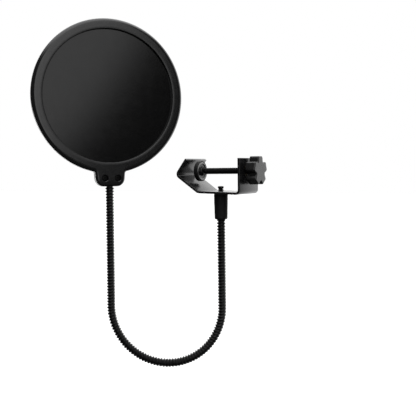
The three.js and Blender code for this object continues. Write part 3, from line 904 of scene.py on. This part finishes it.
def build_pad():
    face, back, radius, floor, lip = PAD["face"], PAD["back"], PAD["radius"], PAD["floor"], PAD["lip"]
    rubber = [
        (0, face, 0),
        (radius - 1.2, face, 0.6),
        (radius, face + 1.0, 0.8),
        (radius, back, 0.3),
        (lip, back, 0.3),
        (lip, floor, 0),
        (0, floor, 0),
    ]
    facing = add_mesh("pad_cap", *turned(rounded(rubber)), ALONG_SCREW)
    finish_piece(facing, "pad", FINISH["pad_rubber"], ["pad_facing"])

    base, rim = CUP["base"], CUP["rim"]
    low, high = base + CUP["floor"], base + CUP["height"]
    cup = [
        (0, base, 0),
        (rim, base, 0.2),
        (rim, high, 0.7),
        (rim - 1.5, high, 0.7),
        (rim - 1.9, low, 0.5),
        (CUP["hub"], low, 0.6),
        (CUP["hub"] - 0.3, CUP["top"], 0.4),
        (CUP["bore"], CUP["top"], 0.2),
        (CUP["bore"], low, 0),
        (0, low, 0),
    ]
    shell = add_mesh("pad_shell", *turned(rounded(cup)), ALONG_SCREW)
    finish_piece(shell, "pad", FINISH["pad_steel"], ["pad_cup"])

    ring = [
        (RETAINER["bore"], RETAINER["from"], 0.1),
        (RETAINER["radius"], RETAINER["from"], 0.15),
        (RETAINER["radius"], RETAINER["to"], 0.2),
        (RETAINER["bore"], RETAINER["to"], 0.2),
    ]
    clip = add_mesh("pad_clip", *turned(rounded(ring, closed=True)), ALONG_SCREW)
    finish_piece(clip, "pad", FINISH["black_screw"], ["pad_retainer"])


def hexagon_radius(angle, flats):
    return flats / 2 / math.cos((angle % (math.pi / 3)) - math.pi / 6)


def knob_radius(angle):
    """Broad lobes with flat tops and hollows between them, one lobe pointing up."""
    spacing = TAU / KNOB["lobes"]
    offset = angle - math.pi / 2
    from_lobe = abs(offset - spacing * round(offset / spacing))
    first, last = math.radians(KNOB["lobe_end"]), math.radians(KNOB["valley_start"])
    fall = min(1, max(0, (from_lobe - first) / (last - first)))
    fall = fall * fall * (3 - 2 * fall)
    flat_top = KNOB["lobe"] / math.cos(from_lobe)
    return flat_top + (KNOB["valley"] - flat_top) * fall


def build_knob():
    """A five-lobed knob with rounded edges, and the metal insert in its back."""
    count = 180
    angles = [TAU * i / count for i in range(count)]
    back, front, edge = KNOB["back"], KNOB["front"], KNOB["edge"]
    outline = [(knob_radius(a) * math.cos(a), knob_radius(a) * math.sin(a)) for a in angles]
    outline = np.array(outline)
    outward = normals_of(outline)

    def lobed(inset, x):
        return [(x, *point) for point in outline - outward * inset]

    def shrunk(share, x):
        return [(x, *(point * share)) for point in outline]

    def hexagon(flats, x):
        radii = [hexagon_radius(a, flats) for a in angles]
        return [(x, r * math.cos(a), r * math.sin(a)) for a, r in zip(angles, radii)]

    pocket_end, pocket = INSERT["end"] + GAP, INSERT["flats"] + 2 * 0.05
    loops = [hexagon(pocket, pocket_end), hexagon(pocket, back)]
    back_edge = 0.6
    loops += [lobed(edge + 1.5, back), lobed(back_edge, back)]
    for angle in np.linspace(0, math.pi / 2, 5)[1:]:
        loops.append(lobed(back_edge * (1 - math.sin(angle)), back + back_edge * (1 - math.cos(angle))))
    for angle in np.linspace(0, math.pi / 2, 9):
        loops.append(lobed(edge * (1 - math.cos(angle)), front - edge * (1 - math.sin(angle))))
    loops += [shrunk(share, front) for share in (0.6, 0.3, 0.05)]
    points, faces = loft(loops, capped=True)
    knob = add_mesh("star_knob", points, faces, IN_CLAMP, sharp_angle=40)
    finish_piece(knob, "screw", FINISH["knob_plastic"], ["knob"])

    bore = INSERT["bore"]
    flats, end = INSERT["flats"], INSERT["end"]

    def bore_at(x):
        return [(x, bore * math.cos(a), bore * math.sin(a)) for a in angles]

    loops = [bore_at(back + 0.2), hexagon(flats - 0.4, back), hexagon(flats, back + 0.2)]
    loops += [hexagon(flats, end), bore_at(end)]
    points, faces = loft(loops, closed=True)
    insert = add_mesh("hex_insert", points, faces, IN_CLAMP, sharp_angle=25)
    finish_piece(insert, "screw", FINISH["brass_insert"], ["knob_insert"])


# ------------------------------------------------------------------ swivel under the clamp


def build_pivot():
    """The screw that the arm swivels on, with a driver's slot."""
    head, top, shank, tip = (PIVOT[key] for key in ("head", "top", "shank", "tip"))
    under = HEAD_UNDER
    corners = [
        (0, tip, 0),
        (shank - 0.5, tip, 0),
        (shank, tip + 0.5, 0.2),
        (shank, under, 0),
        (head - 0.35, under, 0),
        (head, under + 0.45, 0.3),
        (head, top - 0.3, 0.5),
        (head * 0.5, top, 1.0),
        (0, top, 0),
    ]
    screw = add_mesh("swivel_screw", *turned(rounded(corners)), IN_SWIVEL)
    slot = [rectangle(head + 1.1, PIVOT["slot"] / 2, z) for z in (top - 0.7, top + 1)]
    cut(screw, add_mesh("driver_slot", *loft(slot, capped=True), IN_SWIVEL))
    finish_piece(screw, "ferrule", FINISH["black_screw"], ["pivot_screw"])


def washer(name, radius, low, high):
    """A flat ring around the swivel's screw, with eased edges."""
    bore, edge = PIVOT["shank"] + GAP, 0.2
    ring = [(bore, low, edge), (radius, low, edge), (radius, high, edge), (bore, high, edge)]
    return add_mesh(name, *turned(rounded(ring, closed=True)), IN_SWIVEL)


def build_washers():
    low, high = FLAT_WASHER_UNDER, FLAT_WASHER_UNDER + FLAT_WASHER["thickness"]
    flat = washer("flat_washer", FLAT_WASHER["radius"], low, high)
    finish_piece(flat, "ferrule", FINISH["black_screw"], ["pivot_washer"])
    # The strap and the ferrule squeeze it, so it fills the CAD's clearances but for a hair.
    low = FERRULE_TOP + FRICTION_WASHER["gap_under"]
    high = BASE_UNDER - FRICTION_WASHER["gap_over"]
    disc = washer("fibre_disc", FRICTION_WASHER["radius"], low, high)
    finish_piece(disc, "clamp", FINISH["fibre_washer"], ["friction_washer"])


def build_spring_washer():
    """A split washer, its two ends a little apart and twisted out of line."""
    bore, radius, low = PIVOT["shank"] + 0.1, SPRING_WASHER["radius"], SPRING_WASHER_UNDER
    high = low + SPRING_WASHER["thickness"]
    corners = [(bore, low, 0.1), (radius, low, 0.1), (radius, high, 0.1), (bore, high, 0.1)]
    section = rounded(corners, 3, closed=True)
    loops = []
    for i in range(61):
        angle = math.radians(6 + 348 * i / 60)
        lift = SPRING_WASHER["twist"] * (i / 60 - 0.5)
        loops.append([(r * math.cos(angle), r * math.sin(angle), z + lift) for r, z in section])
    washer = add_mesh("split_washer", *loft([loop[::-1] for loop in loops], capped=True), IN_SWIVEL)
    finish_piece(washer, "ferrule", FINISH["black_screw"], ["pivot_spring_washer"])


def build_ferrule():
    top, bottom = FERRULE_TOP, FERRULE["bottom"]
    wide, narrow, room = FERRULE["top_radius"], FERRULE["bottom_radius"], FERRULE["plug_room"]
    shoulder = ARM["clamp_end"] + GAP
    corners = [
        (ARM["room"], bottom, 0.2),
        (narrow, bottom, 1.6),
        (wide, top, 0.6),
        (room, top, 0.1),
        (room, shoulder, 0),
        (ARM["room"], shoulder, 0),
    ]
    sleeve = add_mesh("arm_sleeve", *turned(rounded(corners, 8, closed=True)), IN_SWIVEL)
    finish_piece(sleeve, "ferrule", FINISH["ferrule_plastic"], ["ferrule_sleeve"])


# ------------------------------------------------------------------ camera, lights, floor

CAMERA = {
    "at": (0.3905, -0.6683, 0.0016),
    "azimuth": 29.32,
    "pitch": -1.007,
    "roll": -0.65,
    "lens": 66.89,
    "shift": -0.06,
}


def direction(azimuth, elevation):
    """A unit vector towards an azimuth, where 0 is along +Y and 90 along -X, and an elevation."""
    a, e = math.radians(azimuth), math.radians(elevation)
    return Vector((-math.sin(a) * math.cos(e), math.cos(a) * math.cos(e), math.sin(e)))


def add_camera():
    data = bpy.data.cameras.new("camera")
    data.lens = CAMERA["lens"]
    data.shift_y = CAMERA["shift"]
    camera = bpy.data.objects.new("camera", data)
    bpy.context.scene.collection.objects.link(camera)
    look = direction(CAMERA["azimuth"], CAMERA["pitch"])
    turn = look.to_track_quat("-Z", "Y").to_matrix().to_4x4()
    roll = Matrix.Rotation(math.radians(CAMERA["roll"]), 4, "Z")
    camera.matrix_world = Matrix.Translation(CAMERA["at"]) @ turn @ roll
    bpy.context.scene.camera = camera


# Soft lights far away, as patches of the world: the direction they come from, how far from it in
# degrees they are full and where they end, and their radiance.
OVERHEAD = ((0.0, 0.0, 1.0), 28, 54, 2.2)
WHITE_WALL = ((-0.1, 1.0, 0.1), 42, 56, 1.4)
SOFT_BOX = ((0.6, -0.705, 0.38), 29.2, 32.6, 1.5)
LEFT_CARD = ((-0.86, 0.45, -0.25), 12, 18, 2.4)
AMBIENT = 0.06


def add_world():
    """A dark room with four soft lights. Camera rays see plain white paper instead."""
    world = bpy.data.worlds.new("studio")
    world.use_nodes = True
    tree = world.node_tree
    background = tree.nodes["Background"]
    background.inputs["Color"].default_value = (1, 1, 1, 1)
    outward = tree.nodes.new("ShaderNodeTexCoord").outputs["Generated"]
    total = tree.nodes.new("ShaderNodeValue").outputs[0]
    total.default_value = AMBIENT
    for towards, full, end, radiance in (OVERHEAD, WHITE_WALL, SOFT_BOX, LEFT_CARD):
        facing = tree.nodes.new("ShaderNodeVectorMath")
        facing.operation = "DOT_PRODUCT"
        facing.inputs[1].default_value = Vector(towards).normalized()
        tree.links.new(outward, facing.inputs[0])
        share = tree.nodes.new("ShaderNodeMapRange")
        share.interpolation_type = "SMOOTHSTEP"
        share.inputs["From Min"].default_value = math.cos(math.radians(end))
        share.inputs["From Max"].default_value = math.cos(math.radians(full))
        share.inputs["To Max"].default_value = radiance
        tree.links.new(facing.outputs["Value"], share.inputs["Value"])
        both = tree.nodes.new("ShaderNodeMath")
        tree.links.new(total, both.inputs[0])
        tree.links.new(share.outputs["Result"], both.inputs[1])
        total = both.outputs[0]
    seen = tree.nodes.new("ShaderNodeLightPath").outputs["Is Camera Ray"]
    pick = tree.nodes.new("ShaderNodeMix")
    pick.inputs["B"].default_value = 1.0
    tree.links.new(seen, pick.inputs["Factor"])
    tree.links.new(total, pick.inputs["A"])
    tree.links.new(pick.outputs["Result"], background.inputs["Strength"])
    bpy.context.scene.world = world


def add_floor():
    """A wide floor of white paper below the arm's lowest reach. It throws no light back up."""
    half, height = FLOOR["half_side"], cad_box[0].z - FLOOR["drop"]
    mesh = bpy.data.meshes.new("floor")
    mesh.from_pydata(rectangle(half, half, height), [], [(0, 1, 2, 3)])
    floor = bpy.data.objects.new("floor", mesh)
    bpy.context.scene.collection.objects.link(floor)
    surface = Surface("floor_paper", (0.93, 0.93, 0.93), 0.9)
    surface.mottle(400, 0.01)
    mesh.materials.append(surface.material)
    floor.visible_glossy = False
    floor.visible_diffuse = False


add_camera()
add_world()
add_floor()
bpy.context.scene.view_settings.view_transform = "Standard"
dress_cad_nodes()
build_screen()
build_gooseneck()
build_bracket()
build_bush()
build_screw()
build_pad()
build_knob()
build_pivot()
build_washers()
build_spring_washer()
build_ferrule()
